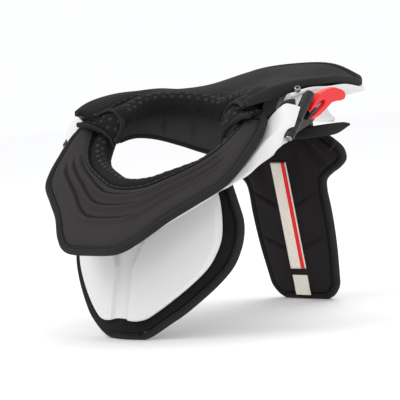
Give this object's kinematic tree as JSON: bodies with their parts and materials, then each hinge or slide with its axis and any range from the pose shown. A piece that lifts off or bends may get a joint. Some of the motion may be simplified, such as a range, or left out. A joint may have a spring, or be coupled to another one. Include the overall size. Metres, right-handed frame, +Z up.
{
  "type": "neck brace",
  "caption": "Rigid padded neck brace for riding: sloping front collar with chest plate, raised rear table with back strut, side latches with levers.",
  "frame": {"origin": "middle of the overall box at floor level, between the foot of the chest pad and the foot of the back pad", "axes": "+Z up, -Y the way the wearer faces, +X the wearer's left"},
  "size_m": [0.2716, 0.3068, 0.2283],
  "materials": {
    "pad_fabric": "matt charcoal pad cloth",
    "roll_fabric": "matt black perforated cloth",
    "binding": "ribbed edge binding, stitched",
    "white_plastic": "glossy white moulding",
    "black_plastic": "satin black moulding",
    "red_plastic": "glossy red moulding",
    "steel": "bright steel",
    "tag_cloth": "cream woven tag with a red stripe"
  },
  "bodies": {
    "brace": {"front_collar_pad": "pad_fabric", "front_collar_binding": "binding", "front_neck_roll": "roll_fabric", "front_hoop": "white_plastic", "chest_plate": "white_plastic", "chest_pad": "pad_fabric", "chest_binding": "binding", "rear_table_pad": "pad_fabric", "rear_table_binding": "binding", "rear_neck_roll": "roll_fabric", "rear_skirt": "pad_fabric", "rear_skirt_binding": "binding", "rear_frame": "white_plastic", "back_pad": "pad_fabric", "back_binding": "binding", "back_strut": "black_plastic", "long_tag": "tag_cloth", "small_tag": "tag_cloth", "arm_core_left": "black_plastic", "arm_core_right": "black_plastic", "rear_tongue_left": "roll_fabric", "rear_tongue_right": "roll_fabric", "rear_tongue_binding_left": "binding", "rear_tongue_binding_right": "binding", "shoulder_pad_left": "pad_fabric", "shoulder_pad_right": "pad_fabric", "keeper_loop_left": "binding", "keeper_loop_right": "binding", "link_pin_left": "steel", "link_pin_right": "steel", "frame_screw_left": "steel", "frame_screw_right": "steel"},
    "link_left": {"latch_link_left": "black_plastic", "latch_adjuster_left": "steel", "lever_pin_left": "steel"},
    "lever_left": {"latch_lever_left": "red_plastic"},
    "link_right": {"latch_link_right": "black_plastic", "latch_adjuster_right": "steel", "lever_pin_right": "steel"},
    "lever_right": {"latch_lever_right": "red_plastic"}
  },
  "joints": [
    {"name": "link_swing_left", "type": "hinge", "parent": "brace", "child": "link_left", "pos_m": [0.13049, -0.02474, 0.18044], "axis": [0.0203, -0.6859, -0.7274], "range_deg": [0, 60]},
    {"name": "lever_lift_left", "type": "hinge", "parent": "link_left", "child": "lever_left", "pos_m": [0.13066, -0.01031, 0.18086], "axis": [-0.1362, 0.276, -0.9515], "range_deg": [0, 75]},
    {"name": "link_swing_right", "type": "hinge", "parent": "brace", "child": "link_right", "pos_m": [-0.13049, -0.02474, 0.18044], "axis": [0.0203, 0.6859, 0.7274], "range_deg": [0, 60]},
    {"name": "lever_lift_right", "type": "hinge", "parent": "link_right", "child": "lever_right", "pos_m": [-0.13066, -0.01031, 0.18086], "axis": [-0.1362, -0.276, 0.9515], "range_deg": [0, 75]}
  ]
}
